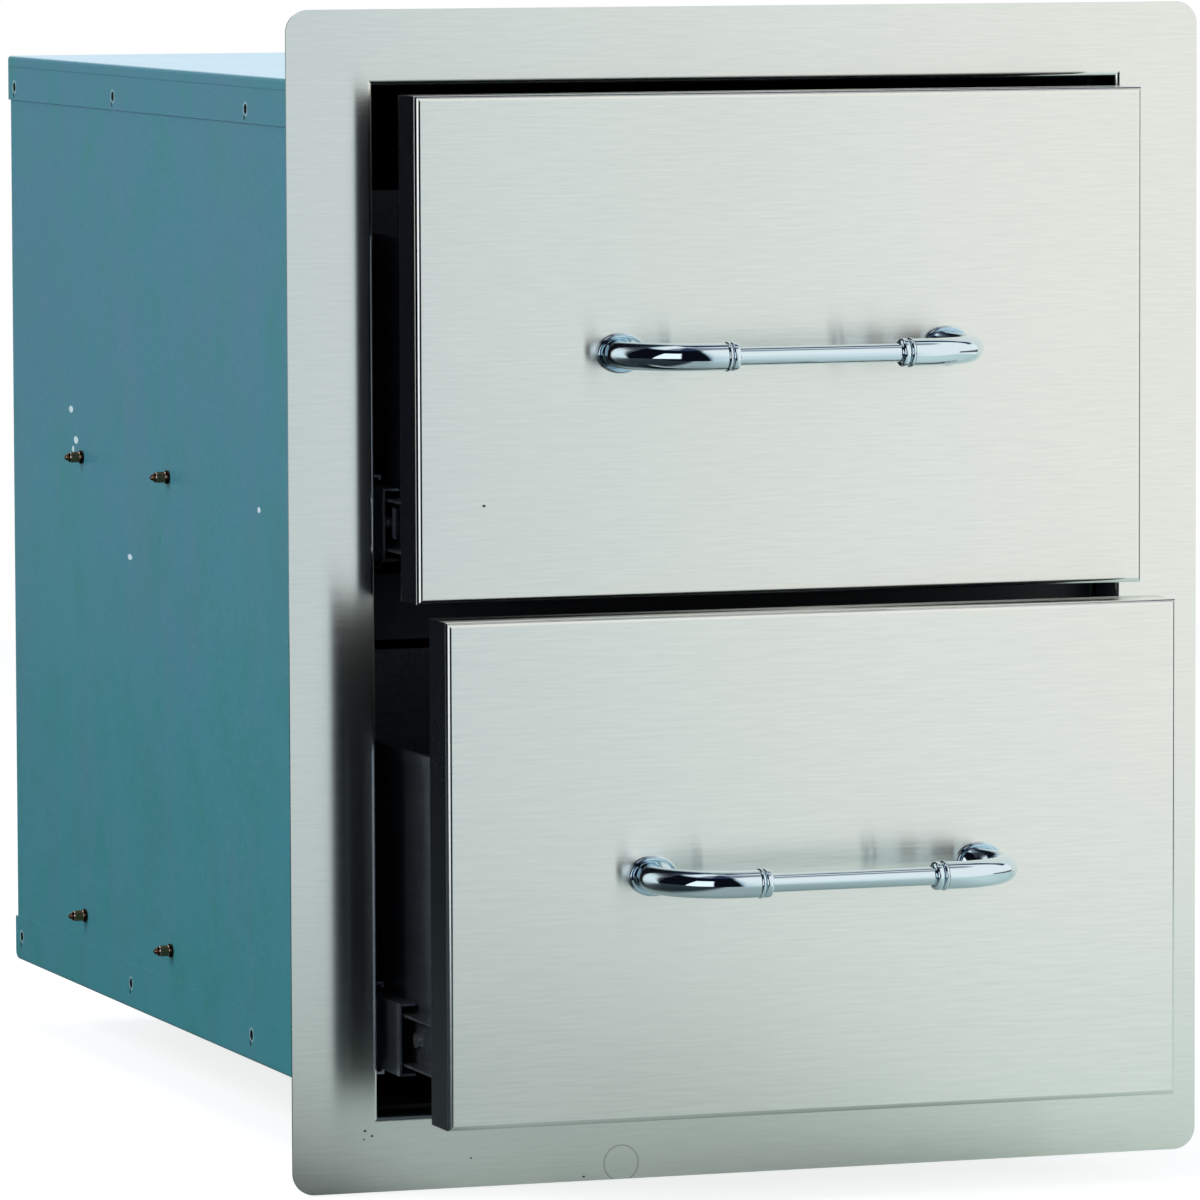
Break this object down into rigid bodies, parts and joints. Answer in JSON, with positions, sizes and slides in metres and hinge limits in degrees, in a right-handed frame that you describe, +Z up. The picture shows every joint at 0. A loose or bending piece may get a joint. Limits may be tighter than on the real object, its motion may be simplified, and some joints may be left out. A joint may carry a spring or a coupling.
{
  "type": "outdoor kitchen drawer unit",
  "caption": "Built-in outdoor kitchen drawer unit: brushed steel face frame and sheet housing with deep drawers on ball bearing slides, each with a bent bar handle.",
  "frame": {"origin": "centre of the cut-out, on the back face of the face frame's flange", "axes": "+Y into the cut-out, +Z up, +X to the right as seen from the front"},
  "size_m": [0.47, 0.8144, 0.571],
  "materials": {
    "face_steel": "stainless steel brushed from left to right",
    "housing_steel": "plain sheet, blue-grey, half gloss",
    "box_steel": "plain sheet, brushed lengthwise",
    "slide_zinc": "bright zinc plate",
    "ball_steel": "polished balls in a plain strip",
    "rivet_steel": "bronze-brown barrel with a dark end",
    "screw_steel": "bright zinc plate",
    "weld_metal": "dark ground weld",
    "handle_chrome": "polished",
    "handle_steel": "polished tube",
    "bumper_rubber": "matt black"
  },
  "bodies": {
    "housing": {"face_frame": "face_steel", "left_side_panel": "housing_steel", "right_side_panel": "housing_steel", "top_cover": "housing_steel", "bottom_pan": "housing_steel", "back_panel": "housing_steel", "centre_rail": "housing_steel", "plug_welds": "weld_metal", "slide_bumpers": "bumper_rubber", "slide_rivets": "rivet_steel", "upper_left_cabinet_member": "slide_zinc", "upper_right_cabinet_member": "slide_zinc", "lower_left_cabinet_member": "slide_zinc", "lower_right_cabinet_member": "slide_zinc"},
    "upper_drawer": {"upper_front_pan": "face_steel", "upper_front_liner": "housing_steel", "upper_box_tray": "box_steel", "upper_box_front": "box_steel", "upper_box_rear": "box_steel", "upper_handle_bar": "handle_steel", "upper_handle_collars": "handle_chrome", "upper_handle_screws": "screw_steel", "upper_slide_screws": "screw_steel", "upper_left_handle_post": "handle_chrome", "upper_left_drawer_member": "slide_zinc", "upper_right_handle_post": "handle_chrome", "upper_right_drawer_member": "slide_zinc"},
    "upper_left_middle_member_body": {"upper_left_middle_member": "slide_zinc"},
    "upper_left_outer_ball_cage_body": {"upper_left_outer_ball_cage": "ball_steel"},
    "upper_left_inner_ball_cage_body": {"upper_left_inner_ball_cage": "ball_steel"},
    "upper_right_middle_member_body": {"upper_right_middle_member": "slide_zinc"},
    "upper_right_outer_ball_cage_body": {"upper_right_outer_ball_cage": "ball_steel"},
    "upper_right_inner_ball_cage_body": {"upper_right_inner_ball_cage": "ball_steel"},
    "lower_drawer": {"lower_front_pan": "face_steel", "lower_front_liner": "housing_steel", "lower_box_tray": "box_steel", "lower_box_front": "box_steel", "lower_box_rear": "box_steel", "lower_handle_bar": "handle_steel", "lower_handle_collars": "handle_chrome", "lower_handle_screws": "screw_steel", "lower_slide_screws": "screw_steel", "lower_left_handle_post": "handle_chrome", "lower_left_drawer_member": "slide_zinc", "lower_right_handle_post": "handle_chrome", "lower_right_drawer_member": "slide_zinc"},
    "lower_left_middle_member_body": {"lower_left_middle_member": "slide_zinc"},
    "lower_left_outer_ball_cage_body": {"lower_left_outer_ball_cage": "ball_steel"},
    "lower_left_inner_ball_cage_body": {"lower_left_inner_ball_cage": "ball_steel"},
    "lower_right_middle_member_body": {"lower_right_middle_member": "slide_zinc"},
    "lower_right_outer_ball_cage_body": {"lower_right_outer_ball_cage": "ball_steel"},
    "lower_right_inner_ball_cage_body": {"lower_right_inner_ball_cage": "ball_steel"}
  },
  "joints": [
    {"name": "upper_drawer_slide", "type": "slide", "parent": "housing", "child": "upper_drawer", "axis": [0, -1, 0], "range_m": [-0.049, 0.541]},
    {"name": "upper_left_middle_member_slide", "type": "slide", "parent": "housing", "child": "upper_left_middle_member_body", "axis": [0, -1, 0], "range_m": [-0.0245, 0.2705]},
    {"name": "upper_left_outer_ball_cage_slide", "type": "slide", "parent": "housing", "child": "upper_left_outer_ball_cage_body", "axis": [0, -1, 0], "range_m": [-0.01225, 0.13525]},
    {"name": "upper_left_inner_ball_cage_slide", "type": "slide", "parent": "housing", "child": "upper_left_inner_ball_cage_body", "axis": [0, -1, 0], "range_m": [-0.03675, 0.40575]},
    {"name": "upper_right_middle_member_slide", "type": "slide", "parent": "housing", "child": "upper_right_middle_member_body", "axis": [0, -1, 0], "range_m": [-0.0245, 0.2705]},
    {"name": "upper_right_outer_ball_cage_slide", "type": "slide", "parent": "housing", "child": "upper_right_outer_ball_cage_body", "axis": [0, -1, 0], "range_m": [-0.01225, 0.13525]},
    {"name": "upper_right_inner_ball_cage_slide", "type": "slide", "parent": "housing", "child": "upper_right_inner_ball_cage_body", "axis": [0, -1, 0], "range_m": [-0.03675, 0.40575]},
    {"name": "lower_drawer_slide", "type": "slide", "parent": "housing", "child": "lower_drawer", "axis": [0, -1, 0], "range_m": [-0.093, 0.497]},
    {"name": "lower_left_middle_member_slide", "type": "slide", "parent": "housing", "child": "lower_left_middle_member_body", "axis": [0, -1, 0], "range_m": [-0.0465, 0.2485]},
    {"name": "lower_left_outer_ball_cage_slide", "type": "slide", "parent": "housing", "child": "lower_left_outer_ball_cage_body", "axis": [0, -1, 0], "range_m": [-0.02325, 0.12425]},
    {"name": "lower_left_inner_ball_cage_slide", "type": "slide", "parent": "housing", "child": "lower_left_inner_ball_cage_body", "axis": [0, -1, 0], "range_m": [-0.06975, 0.37275]},
    {"name": "lower_right_middle_member_slide", "type": "slide", "parent": "housing", "child": "lower_right_middle_member_body", "axis": [0, -1, 0], "range_m": [-0.0465, 0.2485]},
    {"name": "lower_right_outer_ball_cage_slide", "type": "slide", "parent": "housing", "child": "lower_right_outer_ball_cage_body", "axis": [0, -1, 0], "range_m": [-0.02325, 0.12425]},
    {"name": "lower_right_inner_ball_cage_slide", "type": "slide", "parent": "housing", "child": "lower_right_inner_ball_cage_body", "axis": [0, -1, 0], "range_m": [-0.06975, 0.37275]}
  ],
  "couplings": [
    {"joint": "upper_left_middle_member_slide", "follows": "upper_drawer_slide", "ratio": 0.5},
    {"joint": "upper_left_outer_ball_cage_slide", "follows": "upper_drawer_slide", "ratio": 0.25},
    {"joint": "upper_left_inner_ball_cage_slide", "follows": "upper_drawer_slide", "ratio": 0.75},
    {"joint": "upper_right_middle_member_slide", "follows": "upper_drawer_slide", "ratio": 0.5},
    {"joint": "upper_right_outer_ball_cage_slide", "follows": "upper_drawer_slide", "ratio": 0.25},
    {"joint": "upper_right_inner_ball_cage_slide", "follows": "upper_drawer_slide", "ratio": 0.75},
    {"joint": "lower_left_middle_member_slide", "follows": "lower_drawer_slide", "ratio": 0.5},
    {"joint": "lower_left_outer_ball_cage_slide", "follows": "lower_drawer_slide", "ratio": 0.25},
    {"joint": "lower_left_inner_ball_cage_slide", "follows": "lower_drawer_slide", "ratio": 0.75},
    {"joint": "lower_right_middle_member_slide", "follows": "lower_drawer_slide", "ratio": 0.5},
    {"joint": "lower_right_outer_ball_cage_slide", "follows": "lower_drawer_slide", "ratio": 0.25},
    {"joint": "lower_right_inner_ball_cage_slide", "follows": "lower_drawer_slide", "ratio": 0.75}
  ]
}
